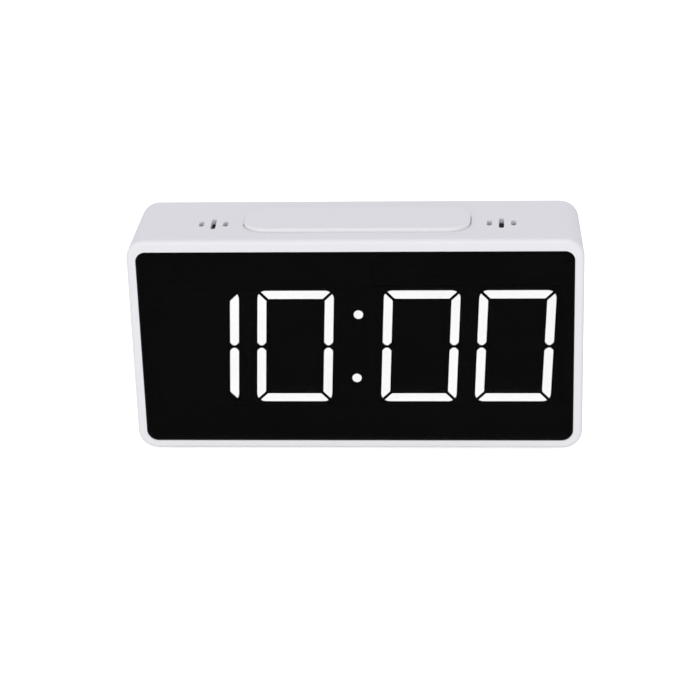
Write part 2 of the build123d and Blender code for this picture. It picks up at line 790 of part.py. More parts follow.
def rear_cover():
    """White cover with the battery block, main board posts, key holes, inlet hole and screw holes."""
    inset = case_wall + cover_clearance
    cover = case_block(cover_inner, cover_outer, inset, case_corner_radius - inset)
    middle = Pos(0, well_middle)
    cover += slab(middle * Rectangle(block_width, block_height), block_front, cover_outer)
    cover += slab(at_places(Circle(post_radius), post_places), main_board_back, cover_inner)
    post_pilots = at_places(Circle(display_pilot_diameter / 2), post_places)
    cover -= slab(post_pilots, main_board_back - cut_overrun, cover_inner)
    cover -= slab(middle * Rectangle(well_length, well_height), well_floor, cover_outer + cut_overrun)
    cover -= slab(middle * Rectangle(recess_width, recess_height), door_seat, cover_outer + cut_overrun)
    notch = Pos(0, well_middle + recess_height / 2) * SlotOverall(notch_length, 2 * notch_height)
    cover -= slab(notch, cover_outer - notch_depth, cover_outer + cut_overrun)
    cover -= hinge_cylinders(door_width / 2 + door_clearance - cut_overrun, door_pin_clearance)
    tail_holes = at_places(contact_tail_hole(), contact_tail_places())
    cover -= slab(tail_holes, block_front - cut_overrun, cell_depth)
    hole = SlotOverall(key_length + 2 * key_clearance, key_width + 2 * key_clearance)
    cover -= slab(at_places(hole, [(x, key_row) for x in key_places]),
                  cover_inner - cut_overrun, cover_outer + cut_overrun)
    inlet = RectangleRounded(usb_width + 2 * usb_clearance, usb_height + 2 * usb_clearance,
                             usb_corner_radius + usb_clearance)
    cover -= slab(Pos(usb_x, key_row) * inlet, cover_inner - cut_overrun, cover_outer + cut_overrun)
    shanks = at_places(Circle(screw_shank_diameter / 2 + screw_clearance), boss_places)
    cover -= slab(shanks, cover_inner - cut_overrun, cover_outer + cut_overrun)
    heads = at_places(Circle(screw_head_diameter / 2 + screw_clearance), boss_places)
    return cover - slab(heads, cover_outer - counterbore_depth, cover_outer + cut_overrun)


def hinge_cylinders(start, clearance):
    """Two pins on the door's hinge line, outwards from a distance each side, or the holes round them."""
    pins = []
    reach = door_width / 2 + door_pin_length + clearance
    for side in (-1, 1):
        pin = Cylinder(door_pin_radius + clearance, reach - start, rotation=(0, 90, 0))
        pins.append(Pos(side * (start + reach) / 2, front_y + hinge_depth, hinge_height) * pin)
    return Part() + pins


def battery_door():
    """Door over the cells: rounded at its lower edge, with hinge pins there and grip ridges at the top."""
    plate_height = door_height - door_thickness / 2
    plate = Pos(0, hinge_height + plate_height / 2) * Rectangle(door_width, plate_height)
    door = slab(plate, door_inner, cover_outer)
    roll = Cylinder(door_thickness / 2, door_width, rotation=(0, 90, 0))
    door += Pos(0, front_y + hinge_depth, hinge_height) * roll
    door += hinge_cylinders(door_width / 2 - cut_overrun, 0)
    first = door_bottom + door_height - door_ridge_drop
    ridges = at_places(SlotOverall(door_ridge_length, door_ridge_width),
                       [(0, first - row * door_ridge_pitch) for row in range(door_ridge_count)])
    return door + slab(ridges, cover_outer, cover_outer + door_ridge_height)


def aaa_cells():
    """Three cells lying across the well, with their raised ends on alternate sides."""
    cells = []
    for row, height in enumerate(cell_heights):
        side = 1 if row % 2 == 0 else -1
        body_length = cell_length - cell_nub_length
        body = Cylinder(cell_diameter / 2, body_length, rotation=(0, 90, 0))
        body = fillet(body.edges().filter_by(GeomType.CIRCLE), cell_edge_radius)
        nub = Cylinder(cell_nub_diameter / 2, cell_nub_length, rotation=(0, 90, 0))
        cell = Pos(-side * cell_nub_length / 2, 0, 0) * body + Pos(side * body_length / 2, 0, 0) * nub
        cells.append(Pos(0, front_y + cell_depth, height) * cell)
    return group(cells)


def contact_rows():
    """Side of the well and the cell rows that each contact plate joins, from one pole to the other."""
    last = cell_count - 1
    joined = [((-1) ** row, (row, row + 1)) for row in range(last)]
    return [(-1, (0,))] + joined + [((-1) ** last, (last,))]


def contact_tail_places():
    """Places where the two end contacts pass forwards through the well's floor."""
    plate_x = well_length / 2 - contact_thickness / 2
    ends = (contact_rows()[0], contact_rows()[-1])
    return [(side * plate_x, cell_heights[rows[0]]) for side, rows in ends]


def contact_tail_hole():
    """Slit in the well's floor for a contact's tail."""
    return Rectangle(contact_thickness + 2 * contact_fit_clearance,
                     contact_tail_width + 2 * contact_fit_clearance)


def battery_contacts():
    """Sprung plates on the end walls of the well, one at each pole and one across each pair of cells."""
    contacts = []
    tails = contact_tail_places()
    for number, (side, rows) in enumerate(contact_rows()):
        heights = [cell_heights[row] for row in rows]
        plate_x = side * (well_length - contact_thickness) / 2
        face_x = side * (well_length / 2 - contact_thickness)
        tip_x = side * (cell_length / 2 + contact_leaf_gap)
        near = cell_depth - contact_height / 2
        plates = at_places(Rectangle(contact_thickness, contact_width),
                           [(plate_x, height) for height in heights])
        if len(rows) == 2:
            plates += Pos(plate_x, sum(heights) / 2) * Rectangle(contact_thickness, cell_pitch)
        contact = slab(plates, near, near + contact_height)
        for height in heights:
            contact += contact_leaf(side, face_x, tip_x, height)
        if number in (0, cell_count):
            tail = Rectangle(contact_thickness, contact_tail_width)
            place = tails[0] if number == 0 else tails[1]
            contact += slab(Pos(*place) * tail, block_front - contact_tail_length, near)
        contacts.append(contact)
    return group(contacts)


def contact_leaf(side, face_x, tip_x, height):
    """Bowed spring leaf from a contact plate to the end of a cell, drawn as seen from above."""
    middle = front_y + cell_depth
    half = contact_height / 2
    sheet = contact_thickness
    outer = [(face_x, middle + half), (tip_x, middle), (face_x, middle - half)]
    inner = [(face_x, middle - half + sheet), (tip_x + side * sheet, middle),
             (face_x, middle + half - sheet)]
    bow = make_face(Polyline(*outer, *inner, close=True))
    return column(bow, height - contact_leaf_width / 2, height + contact_leaf_width / 2)


def battery_leads():
    """Two wires from the end contacts' tails up to the main board."""
    wires = []
    start = front_y + block_front - contact_tail_length
    for x, height in contact_tail_places():
        wires.append(lead((x, start, height), (x, start - battery_lead_reach, height),
                          (x, start - battery_lead_reach, part_height),
                          (x, front_y + main_board_front, part_height)))
    return group(wires)


def case_screws():
    """Four screws that hold the rear cover on the case's bosses."""
    return group([screw(place, cover_outer - counterbore_depth, 1, screw_head_diameter, screw_head_height,
                        screw_shank_diameter, screw_length) for place in boss_places])


# Every node by name
nodes = {
    "case_shell": case_shell(),
    "front_lens": front_lens(),
    "lens_tape": lens_tape(),
    "display_reflector": display_reflector(),
    "colon_dots": colon_dots(),
    "led_chips": led_chips(),
    "display_board": display_board(),
    "display_driver_chip": chip(driver_length, driver_x, display_middle, board_back, 1),
    "display_board_screws": board_screws(display_boss_places, board_back, 1),
    "display_socket": display_socket(),
    "main_socket": main_socket(),
    "ribbon_cable": ribbon_cable(),
    "main_board": main_board(),
    "main_board_screws": board_screws(post_places, main_board_front, -1),
    "controller_chip": chip(controller_length, controller_x, part_height, main_board_front, -1),
    "clock_crystal": clock_crystal(),
    "filter_capacitor": filter_capacitor(),
    "key_switch_bodies": key_switch_bodies(),
    "snooze_key": snooze_key(),
    "snooze_switch_bodies": snooze_switch_bodies(),
    "snooze_switch_stems": snooze_switch_stems(),
    "usb_shell": usb_shell(),
    "usb_tongue": usb_tongue(),
    "buzzer": buzzer(),
    "buzzer_leads": sound_leads(buzzer_place, buzzer_bottom),
    "microphone": microphone(),
    "microphone_boot": microphone_boot(),
    "microphone_leads": sound_leads(microphone_place, buzzer_top - microphone_length),
    "rear_cover": rear_cover(),
    "case_screws": case_screws(),
    "battery_door": battery_door(),
    "aaa_cells": aaa_cells(),
    "battery_contacts": battery_contacts(),
    "battery_leads": battery_leads(),
    "rubber_feet": rubber_feet(),
}
for name, place, lit in zip(digit_names, digit_places, digit_lit_bars):
    nodes[name + "_lit_bars"] = bar_solids(place, lit)
    nodes[name + "_dark_bars"] = bar_solids(place, [bar for bar in "abcdefg" if bar not in lit])
for name, x in zip(key_names, key_places):
    nodes[name + "_key"] = rear_key(x)
    nodes[name + "_switch_stem"] = switch_stem(x)

os.makedirs("parts", exist_ok=True)
for name, solid in nodes.items():
    export_step(solid, os.path.join("parts", name + ".step"))
print(len(nodes), "nodes")
print("case", round(case_width, 3), round(case_depth, 3), round(case_height, 3))
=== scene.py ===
# %% [markdown]
# A digital desk clock: a white moulded case, a smoked lens over glowing digits, a long snooze key on
# top, and keys, a power inlet and a battery door at the back. The engineering model is loaded first as a
# fixed frame, in metres, so every piece made here can take its place from it.

import json
from math import pi, radians

import bmesh
import bpy
from mathutils import Matrix, Vector


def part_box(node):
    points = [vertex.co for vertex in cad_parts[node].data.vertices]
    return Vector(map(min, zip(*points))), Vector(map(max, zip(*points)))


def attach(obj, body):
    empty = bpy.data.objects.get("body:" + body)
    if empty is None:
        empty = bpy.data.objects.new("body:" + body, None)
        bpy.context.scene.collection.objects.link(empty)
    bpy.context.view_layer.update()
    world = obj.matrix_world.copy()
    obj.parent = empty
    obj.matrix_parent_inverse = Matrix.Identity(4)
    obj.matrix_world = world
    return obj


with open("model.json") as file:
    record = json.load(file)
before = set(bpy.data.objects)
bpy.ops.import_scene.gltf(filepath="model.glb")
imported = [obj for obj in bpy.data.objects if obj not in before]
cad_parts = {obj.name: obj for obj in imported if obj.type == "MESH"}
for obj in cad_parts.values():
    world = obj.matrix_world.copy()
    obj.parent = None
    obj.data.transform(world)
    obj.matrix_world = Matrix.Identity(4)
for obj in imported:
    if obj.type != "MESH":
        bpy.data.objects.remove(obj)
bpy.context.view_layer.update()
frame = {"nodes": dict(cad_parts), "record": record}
MM = 0.001

# %% [markdown]
# The camera stands where the photographer's did: to the right of the middle, well above the clock, with
# a long lens. Its place and turn were found by matching the edges of the case. A long lens from far away
# keeps the case nearly free of perspective. No lens shift is used, so views from other sides stay
# centred.

# %% Camera
camera_place = Vector((50.81, -800.45, 414.73)) * MM
camera_tilt = radians(64.481)
camera_turn = radians(3.89)
camera_roll = radians(-1.742)
camera_lens_mm = 125.97
camera_sensor_mm = 36.0

camera_data = bpy.data.cameras.new("camera")
camera_data.lens = camera_lens_mm
camera_data.sensor_width = camera_sensor_mm
camera = bpy.data.objects.new("camera", camera_data)
camera.matrix_world = (Matrix.Translation(camera_place) @ Matrix.Rotation(camera_turn, 4, "Z")
                       @ Matrix.Rotation(camera_tilt, 4, "X") @ Matrix.Rotation(camera_roll, 4, "Z"))
bpy.context.scene.collection.objects.link(camera)
bpy.context.scene.camera = camera
print("camera", [round(c, 3) for c in camera_place])

# %% [markdown]
# A finish is a small network of nodes. In the editor they are dragged together; in a script it reads
# better when one helper makes a node and sets its sockets by name, and others join sockets to them.

# %% Node helpers
def set_socket(tree, socket, value):
    """Set a socket to a value, or join it to the output of another node."""
    if isinstance(value, bpy.types.NodeSocket):
        tree.links.new(value, socket)
    else:
        socket.default_value = value


def add_node(tree, kind, **values):
    """Node of a kind, with its sockets set by name; an underscore stands for a space."""
    made = tree.nodes.new("ShaderNode" + kind)
    for label, value in values.items():
        set_socket(tree, made.inputs[label.replace("_", " ")], value)
    return made


def add_math(tree, operation, *values):
    """Output of a Math node."""
    made = tree.nodes.new("ShaderNodeMath")
    made.operation = operation
    for socket, value in zip(made.inputs, values):
        set_socket(tree, socket, value)
    return made.outputs[0]


def add_mix(tree, share, first, second):
    """Colour mixed from two colours by a share."""
    made = tree.nodes.new("ShaderNodeMix")
    made.data_type = "RGBA"
    sockets = [socket for socket in made.inputs if socket.enabled]
    for socket, value in zip(sockets, (share, first, second)):
        set_socket(tree, socket, value)
    return next(socket for socket in made.outputs if socket.enabled)


def new_material(name):
    """Material with one Principled shader, and its node tree."""
    material = bpy.data.materials.new(name)
    material.use_nodes = True
    tree = material.node_tree
    return material, tree, tree.nodes["Principled BSDF"]


print("node helpers ready")

# %% [markdown]
# The set is a pale floor like a light table. Only the camera sees its glow, so it stays white without
# lighting the clock. It casts no shadow, so a light may shine up through it. Glossy surfaces don't
# mirror the floor: a photographer gets the same clean black panel with a polarising filter.

# %% Floor
floor_size = 12.0
floor_glow = 0.7
floor_white = (0.8, 0.8, 0.8, 1)
paper_roughness = 0.9
paper_shine = 0.1
glow_tint = (1, 1, 1, 1)

floor_mesh = bpy.data.meshes.new("floor")
shape = bmesh.new()
bmesh.ops.create_grid(shape, x_segments=1, y_segments=1, size=floor_size / 2)
shape.to_mesh(floor_mesh)
shape.free()
floor = bpy.data.objects.new("floor", floor_mesh)
bpy.context.scene.collection.objects.link(floor)
floor_material, tree, shader = new_material("floor_paper")
shader.inputs["Base Color"].default_value = floor_white
shader.inputs["Roughness"].default_value = paper_roughness
shader.inputs["Specular IOR Level"].default_value = paper_shine
shader.inputs["Emission Color"].default_value = glow_tint
ray = add_node(tree, "LightPath")
glow = add_math(tree, "MULTIPLY", ray.outputs["Is Camera Ray"], floor_glow)
set_socket(tree, shader.inputs["Emission Strength"], glow)
floor_mesh.materials.append(floor_material)
floor.visible_glossy = False
floor.visible_shadow = False
print("floor", floor_size, "m square")

# %% [markdown]
# The light is soft. The sky is a ramp from dark below the horizon to pale lavender above, which lights
# and tints the top of the case. Behind and beside the clock the pale part reaches lower, like white
# walls, so the rear is lit and its metal has something to mirror. Where the camera looks past the floor,
# it sees plain white, so floor and backdrop are one.

# %% Sky
sky_strength = 0.86
sky_below = (0.05, 0.05, 0.055, 1)
sky_above = (0.93, 0.92, 0.975, 1)
sky_edge_share = 0.12
wall_start = -0.3
wall_share = 0.5
backdrop_white = (1.2, 1.2, 1.2, 1)

world = bpy.data.worlds.new("studio")
world.use_nodes = True
bpy.context.scene.world = world
tree = world.node_tree
place = add_node(tree, "TexCoord")
split = add_node(tree, "SeparateXYZ", Vector=place.outputs["Generated"])
behind = add_math(tree, "MAXIMUM", add_math(tree, "SUBTRACT", split.outputs["Y"], wall_start), 0.0)
height = add_math(tree, "MULTIPLY_ADD", behind, wall_share, split.outputs["Z"])
ramp = add_node(tree, "ValToRGB", Fac=height)
low_stop, high_stop = ramp.color_ramp.elements
low_stop.position = 0.0
low_stop.color = sky_below
high_stop.position = sky_edge_share
high_stop.color = sky_above
ray = add_node(tree, "LightPath")
seen = add_mix(tree, ray.outputs["Is Camera Ray"], ramp.outputs["Color"], backdrop_white)
background = tree.nodes["Background"]
set_socket(tree, background.inputs["Color"], seen)
background.inputs["Strength"].default_value = sky_strength
print("sky", world.name, len(tree.nodes), "nodes")

# %% [markdown]
# Two wide lights make the front a little brighter than the top: one nearly level with the clock, and one
# from below that stands for the bounce of a white table. A distant light with a wide angle has soft
# shade and an even strength. The bounce is kept out of reflections, so the lens stays black.

# %% Lights
light_bearing = -8
light_softness = 30
light_tint = (1.0, 0.99, 0.95)
front_height = 5
front_strength = 0.75
bounce_height = -26
bounce_strength = 0.43


def sun_light(name, height, strength):
    """Distant soft light from the front, at a height above the floor in degrees."""
    data = bpy.data.lights.new(name, "SUN")
    data.energy = strength
    data.angle = radians(light_softness)
    data.color = light_tint
    light = bpy.data.objects.new(name, data)
    light.matrix_world = (Matrix.Rotation(radians(light_bearing), 4, "Z")
                          @ Matrix.Rotation(radians(90 - height), 4, "X"))
    bpy.context.scene.collection.objects.link(light)
    return light


sun_light("front_light", front_height, front_strength)
bounce = sun_light("bounce_light", bounce_height, bounce_strength)
bounce.visible_glossy = False
bpy.context.scene.view_settings.view_transform = "Standard"

# %% [markdown]
# Most of the clock is moulded plastic or rubber. A mould leaves a fine spark-eroded grain, and the melt
# flows and cools unevenly, so colour and gloss drift a little over some centimetres. Two noises on
# Object coordinates give both: a broad one for the drift and a fine one for the grain. They are a node
# group, because nearly every finish here uses them with its own tint, gloss and grain size.

# %% Moulded surface group
drift_scale = 45.0
noise_middle = 0.5
finish_sockets = {"Color": "Color", "Roughness": "Float", "Height": "Float"}


def new_group(name, inputs, outputs):
    """Empty shader group with named sockets, and the sockets of its input and output nodes."""
    group = bpy.data.node_groups.new(name, "ShaderNodeTree")
    for label, (kind, value) in inputs.items():
        socket = group.interface.new_socket(label, in_out="INPUT", socket_type="NodeSocket" + kind)
        socket.default_value = value
    for label, kind in outputs.items():
        group.interface.new_socket(label, in_out="OUTPUT", socket_type="NodeSocket" + kind)
    return group, group.nodes.new("NodeGroupInput").outputs, group.nodes.new("NodeGroupOutput").inputs


def join_finish(group, given, result, drift, height):
    """Join a drift and a height to the group's colour, roughness and height."""
    swing = add_math(group, "SUBTRACT", drift, noise_middle)
    value = add_math(group, "MULTIPLY_ADD", swing, given["Drift"], 1.0)
    shade = add_node(group, "HueSaturation", Color=given["Tint"], Value=value)
    rough = add_math(group, "MULTIPLY_ADD", swing, given["Gloss Drift"], given["Roughness"])
    set_socket(group, result["Color"], shade.outputs["Color"])
    set_socket(group, result["Roughness"], rough)
    set_socket(group, result["Height"], height)


moulded, given, result = new_group("moulded_surface", {
    "Tint": ("Color", (0.8, 0.8, 0.8, 1)), "Drift": ("Float", 0.02), "Roughness": ("Float", 0.4),
    "Gloss Drift": ("Float", 0.08), "Grain": ("Float", 3000.0)}, finish_sockets)
place = add_node(moulded, "TexCoord").outputs["Object"]
drift = add_node(moulded, "TexNoise", Vector=place, Scale=drift_scale, Detail=3.0)
grain = add_node(moulded, "TexNoise", Vector=place, Scale=given["Grain"], Detail=2.0)
join_finish(moulded, given, result, drift.outputs["Fac"], grain.outputs["Fac"])
print("group", moulded.name, len(moulded.nodes), "nodes")

# %% [markdown]
# The metal parts are drawn, stamped or turned, and then plated. Their gloss runs in fine streaks along
# the way they were worked. One noise that is squeezed more along two axes than along the third gives
# streaks; the squeeze is an input of the group, so each part can have its own direction.

# %% Worked metal group
metal, given, result = new_group("worked_metal", {
    "Tint": ("Color", (0.7, 0.7, 0.7, 1)), "Drift": ("Float", 0.25), "Roughness": ("Float", 0.3),
    "Gloss Drift": ("Float", 0.3), "Squeeze": ("Vector", (2000.0, 2000.0, 2000.0))}, finish_sockets)
place = add_node(metal, "TexCoord").outputs["Object"]
squeezed = add_node(metal, "Mapping", Vector=place, Scale=given["Squeeze"]).outputs["Vector"]
streaks = add_node(metal, "TexNoise", Vector=squeezed, Scale=1.0, Detail=2.0).outputs["Fac"]
join_finish(metal, given, result, streaks, streaks)
print("group", metal.name, len(metal.nodes), "nodes")

# %% [markdown]
# A finish places a group in a material, joins it to the Principled shader, and adds a Bump node for the
# relief. What is the same all over a surface, such as its metalness or its see-through share, goes
# straight on the shader's own socket.

# %% Finish helpers
def add_relief(tree, shader, height, bump, depth_mm):
    """Bump of a strength and a depth on the shader."""
    relief = add_node(tree, "Bump", Height=height, Strength=bump, Distance=depth_mm * MM)
    set_socket(tree, shader.inputs["Normal"], relief.outputs["Normal"])


def new_finish(name, group, bump=0, depth_mm=0, sockets=None, **values):
    """Material made from a group, with a bump unless it is 0, and constant shader sockets."""
    material, tree, shader = new_material(name)
    surface = tree.nodes.new("ShaderNodeGroup")
    surface.node_tree = group
    for label, value in values.items():
        surface.inputs[label.replace("_", " ")].default_value = value
    set_socket(tree, shader.inputs["Base Color"], surface.outputs["Color"])
    set_socket(tree, shader.inputs["Roughness"], surface.outputs["Roughness"])
    if bump:
        add_relief(tree, shader, surface.outputs["Height"], bump, depth_mm)
    for label, value in (sockets or {}).items():
        shader.inputs[label].default_value = value
    return material, tree, shader, surface.outputs["Color"]


print("finish helpers ready")

# %% [markdown]
# The frame's record gives every node of the clock a slot, which names what it is made of. A finish is
# made once for its slot and given to all the nodes that have it, so like parts look alike.

# %% Dressing helpers
slot_of = {row["node"]: row["material_slot"] for row in frame["record"]["subparts"]}
finish_of = {}


def dress(material, names):
    """Give a material to CAD nodes."""
    for name in names:
        mesh = frame["nodes"][name].data
        mesh.materials.clear()
        mesh.materials.append(material)


def dress_slot(slot, material):
    """Give a material to every CAD node of a slot, and keep it for new pieces."""
    finish_of[slot] = material
    names = [name for name in frame["nodes"] if slot_of[name] == slot]
    dress(material, names)
    print(slot, "on", ", ".join(sorted(names)))


def dress_moulded(looks):
    """Make a moulded finish for each slot of a table, and dress its nodes."""
    for slot, look in looks.items():
        dress_slot(slot, new_finish(slot, moulded, **look)[0])


print(len(set(slot_of.values())), "slots to dress")

# %% [markdown]
# The case, its rear cover and the keys are white ABS. The case has a fine satin grain, the cover behind
# a coarser one that hides flow marks, and the keys are smoother because fingers polish them. The white
# is a little under full, so the lights can still shape it.

# %% White plastics
dress_moulded({
    "case_white": dict(Tint=(0.84, 0.84, 0.85, 1), Drift=0.012, Roughness=0.5, Gloss_Drift=0.1,
                       Grain=3500.0, bump=0.12, depth_mm=0.01),
    "cover_white": dict(Tint=(0.82, 0.82, 0.83, 1), Drift=0.02, Roughness=0.58, Gloss_Drift=0.1,
                        Grain=2200.0, bump=0.3, depth_mm=0.03),
    "key_white": dict(Tint=(0.845, 0.845, 0.855, 1), Drift=0.012, Roughness=0.42, Gloss_Drift=0.12,
                      Grain=3500.0, bump=0.06, depth_mm=0.01),
})

# %% [markdown]
# The lens is smoked acrylic, polished and nearly black. Real smoked glass could be made with absorption,
# but a share of see-through on a black surface shows the same, exports well and renders fast. Light from
# the digits crosses both faces of the lens, so what comes through is that share twice over.

# %% Lens
lens_cover_share = 0.75
lens_bend = 1.49

dress_moulded({
    "lens_smoke": dict(Tint=(0.003, 0.003, 0.003, 1), Drift=0.3, Roughness=0.06, Gloss_Drift=0.03,
                       Grain=300.0, bump=0.01, depth_mm=0.01,
                       sockets={"Alpha": lens_cover_share, "IOR": lens_bend}),
})

# %% [markdown]
# Each digit bar is a milky plug over a light chip. The lit ones glow white, a touch unevenly, and the
# unlit ones are a dark tint, so they vanish behind the lens. The glow is strong enough to come through
# the lens at just under full white.

# %% Digit bars
white_after_lens = 0.96
bar_look = dict(Roughness=0.5, Gloss_Drift=0.05, Grain=1500.0, bump=0.02, depth_mm=0.01)

lit, tree, shader, colour = new_finish("bar_lit", moulded, Tint=(0.96, 0.96, 0.96, 1), Drift=0.15,
                                       **bar_look)
set_socket(tree, shader.inputs["Emission Color"], colour)
shader.inputs["Emission Strength"].default_value = white_after_lens / (1 - lens_cover_share) ** 2
dress_slot("bar_lit", lit)
dress_moulded({"bar_dark": dict(Tint=(0.02, 0.02, 0.021, 1), Drift=0.1, **bar_look)})

# %% [markdown]
# The dark parts are foam tape, the matt reflector, epoxy chips, switch stems, moulded blocks and rubber.
# They differ in blackness, gloss and grain: foam has open cells, rubber a soft dusty bloom, epoxy a fine
# even grain. One table of looks and the moulded surface make them all.

# %% Dark plastics and rubbers
def dark(level, **look):
    """Look of a dark grey finish."""
    return dict(Tint=(level, level, level, 1), Gloss_Drift=0.12, **look)


dress_moulded({
    "tape_black": dark(0.004, Drift=0.2, Roughness=0.9, Grain=1800.0, bump=0.5, depth_mm=0.05),
    "reflector_black": dark(0.005, Drift=0.15, Roughness=0.75, Grain=2600.0, bump=0.2, depth_mm=0.02),
    "chip_black": dark(0.02, Drift=0.2, Roughness=0.55, Grain=4000.0, bump=0.25, depth_mm=0.02),
    "stem_black": dark(0.03, Drift=0.15, Roughness=0.4, Grain=3000.0, bump=0.05, depth_mm=0.01),
    "tongue_black": dark(0.018, Drift=0.15, Roughness=0.45, Grain=3000.0, bump=0.1, depth_mm=0.01),
    "boot_rubber": dark(0.03, Drift=0.35, Roughness=0.8, Grain=1600.0, bump=0.3, depth_mm=0.04),
    "foot_rubber": dark(0.045, Drift=0.4, Roughness=0.82, Grain=1400.0, bump=0.4, depth_mm=0.05),
})

# %% [markdown]
# The two sockets are ivory nylon and the light chips are white ceramic under yellow phosphor. Both are
# small and hidden in use, but the open part shows them.

# %% Nylon and phosphor
dress_moulded({
    "socket_ivory": dict(Tint=(0.78, 0.74, 0.64, 1), Drift=0.06, Roughness=0.45, Gloss_Drift=0.1,
                         Grain=2500.0, bump=0.1, depth_mm=0.02),
    "led_ceramic": dict(Tint=(0.85, 0.72, 0.22, 1), Drift=0.25, Roughness=0.6, Gloss_Drift=0.1,
                        Grain=6000.0, bump=0.2, depth_mm=0.02),
})

# %% [markdown]
# Screws are zinc plated, the inlet's shell and the battery springs are nickel plated, and the small cans
# are drawn aluminium. All are metal all over, so Metallic is set on the socket; the streaks follow each
# part's own direction.

# %% Metals
turned = (900.0, 2600.0, 900.0)
stamped = (2200.0, 500.0, 2200.0)
drawn = (2600.0, 2600.0, 350.0)
metal_finishes = {
    "screw_steel": ((0.56, 0.58, 0.62, 1), 0.32, turned),
    "usb_steel": ((0.70, 0.70, 0.71, 1), 0.24, stamped),
    "contact_nickel": ((0.76, 0.74, 0.70, 1), 0.28, drawn),
    "can_metal": ((0.74, 0.74, 0.76, 1), 0.3, drawn),
}
for slot, (tint, rough, squeeze) in metal_finishes.items():
    dress_slot(slot, new_finish(slot, metal, bump=0.08, depth_mm=0.01, sockets={"Metallic": 1.0}, Tint=tint,
                                Drift=0.2, Roughness=rough, Gloss_Drift=0.25, Squeeze=squeeze)[0])

# %% [markdown]
# A circuit board is woven glass under green lacquer, with copper tracks that show as paler lines and
# small tinned holes between them. A Brick texture draws the tracks as its mortar, and a Voronoi texture
# dots the holes. The boards stand upright, so a Mapping node lays the pattern into their plane.

# %% Circuit boards
board_dark = (0.012, 0.085, 0.035, 1)
board_light = (0.016, 0.10, 0.042, 1)
track_tint = (0.03, 0.17, 0.07, 1)
tin_tint = (0.62, 0.60, 0.55, 1)
track_scale = 130.0
track_share = 0.03
track_gloss = -0.1
lacquer_roughness = 0.38
hole_scale = 170.0
hole_share = 0.1
upright_turn = (radians(90), 0, 0)

board, tree, shader = new_material("board_green")
place = add_node(tree, "TexCoord").outputs["Object"]
upright = add_node(tree, "Mapping", Vector=place, Rotation=upright_turn).outputs["Vector"]
tracks = add_node(tree, "TexBrick", Vector=upright, Color1=board_dark, Color2=board_light,
                  Mortar=track_tint, Scale=track_scale, Mortar_Size=track_share)
holes = add_node(tree, "TexVoronoi", Vector=upright, Scale=hole_scale)
tinned = add_math(tree, "LESS_THAN", holes.outputs["Distance"], hole_share)
set_socket(tree, shader.inputs["Base Color"], add_mix(tree, tinned, tracks.outputs["Color"], tin_tint))
set_socket(tree, shader.inputs["Metallic"], tinned)
gloss = add_math(tree, "MULTIPLY_ADD", tracks.outputs["Fac"], track_gloss, lacquer_roughness)
set_socket(tree, shader.inputs["Roughness"], gloss)
add_relief(tree, shader, tracks.outputs["Fac"], bump=0.3, depth_mm=0.04)
dress_slot("board_green", board)

# %% [markdown]
# The ribbon between the boards is ten wires side by side in grey sleeve, with the first one marked red.
# A Wave texture in bands makes the ridges, at the pitch of the wires, and a step on X paints the first
# wire. The sleeve is painted darker in the grooves between the ridges: painted shade in the creases.
# The texture multiplies its scale by 20 before it takes the sine, so the scale is worked out from that
# and the pitch.

# %% Ribbon cable
wire_pitch = 1.27 * MM
wave_turn = 20.0
ribbon_tint = (0.42, 0.42, 0.44, 1)
# darker tint of the grooves between the wires: painted shade
painted_groove_shade = (0.28, 0.28, 0.30, 1)
marked_wire = (0.45, 0.03, 0.03, 1)
ridge_gloss = -0.12
groove_roughness = 0.55

ribbon, tree, shader = new_material("ribbon_grey")
place = add_node(tree, "TexCoord").outputs["Object"]
ridges = add_node(tree, "TexWave", Vector=place, Scale=2 * pi / (wave_turn * wire_pitch)).outputs["Fac"]
across = add_node(tree, "SeparateXYZ", Vector=place).outputs["X"]
first_wire = add_math(tree, "LESS_THAN", across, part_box("ribbon_cable")[0].x + wire_pitch)
# the sleeve takes the darker tint in its grooves, as painted shade
sleeve = add_mix(tree, ridges, painted_groove_shade, ribbon_tint)
set_socket(tree, shader.inputs["Base Color"], add_mix(tree, first_wire, sleeve, marked_wire))
gloss = add_math(tree, "MULTIPLY_ADD", ridges, ridge_gloss, groove_roughness)
set_socket(tree, shader.inputs["Roughness"], gloss)
add_relief(tree, shader, ridges, bump=0.6, depth_mm=0.2)
dress_slot("ribbon_grey", ribbon)

# %% [markdown]
# The three cells wear a printed sleeve over a steel can: dark blue for most of the length, a pale band
# near the positive end, and bare metal at both ends. Neighbours lie head to tail, so the pattern has to
# turn round from row to row. Counting rows up Z gives odd and even, and that sign flips the length along
# X.

# %% Cells
cell_low, cell_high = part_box("aaa_cells")
cell_rows = 3
row_pitch = (cell_high.z - cell_low.z) / cell_rows
sleeve_half = 21.4 * MM
band_start = 11.0 * MM
sleeve_blue = (0.015, 0.035, 0.13, 1)
band_pale = (0.55, 0.52, 0.42, 1)
can_steel = (0.68, 0.68, 0.69, 1)

cells, tree, shader, colour = new_finish("cell_wrap", moulded, bump=0.03, depth_mm=0.01, Tint=sleeve_blue,
                                         Drift=0.2, Roughness=0.3, Gloss_Drift=0.12, Grain=1200.0)
place = add_node(tree, "TexCoord").outputs["Object"]
split = add_node(tree, "SeparateXYZ", Vector=place)
rise = add_math(tree, "MULTIPLY_ADD", split.outputs["Z"], 1 / row_pitch, -cell_low.z / row_pitch)
odd_row = add_math(tree, "MODULO", add_math(tree, "FLOOR", rise), 2.0)
row_sign = add_math(tree, "MULTIPLY_ADD", odd_row, 2.0, -1.0)
along = add_math(tree, "MULTIPLY", split.outputs["X"], row_sign)
band = add_math(tree, "GREATER_THAN", along, band_start)
bare = add_math(tree, "GREATER_THAN", add_math(tree, "ABSOLUTE", split.outputs["X"]), sleeve_half)
printed = add_mix(tree, band, colour, band_pale)
set_socket(tree, shader.inputs["Base Color"], add_mix(tree, bare, printed, can_steel))
set_socket(tree, shader.inputs["Metallic"], bare)
dress_slot("cell_wrap", cells)

